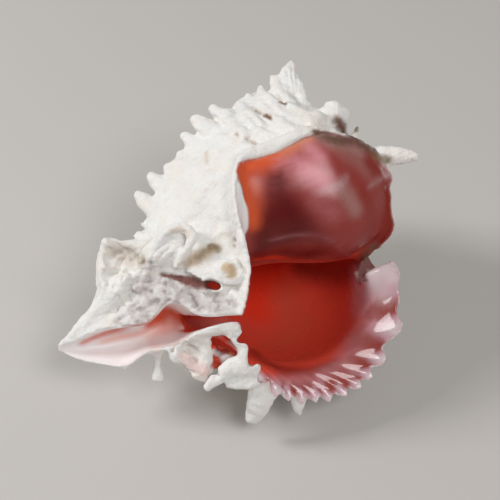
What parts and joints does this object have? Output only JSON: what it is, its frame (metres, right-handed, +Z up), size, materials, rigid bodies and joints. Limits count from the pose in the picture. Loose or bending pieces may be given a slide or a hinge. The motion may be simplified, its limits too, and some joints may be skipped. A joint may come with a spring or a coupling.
{
  "type": "murex shell",
  "caption": "Large spiny sea snail shell with a glazed red and pink mouth, lying on its back as a desk or shelf ornament.",
  "frame": {"origin": "centre of the bottom of the bounding box, on the table that the shell lies on", "axes": "+Z up from the table, +X towards the end with the spire, -Y towards the side that the mouth opens to"},
  "size_m": [0.1055, 0.0993, 0.0771],
  "materials": {
    "shell": "chalky outside, glazed red and pink mouth"
  },
  "bodies": {
    "root": {"murex_shell": "shell"}
  },
  "joints": []
}
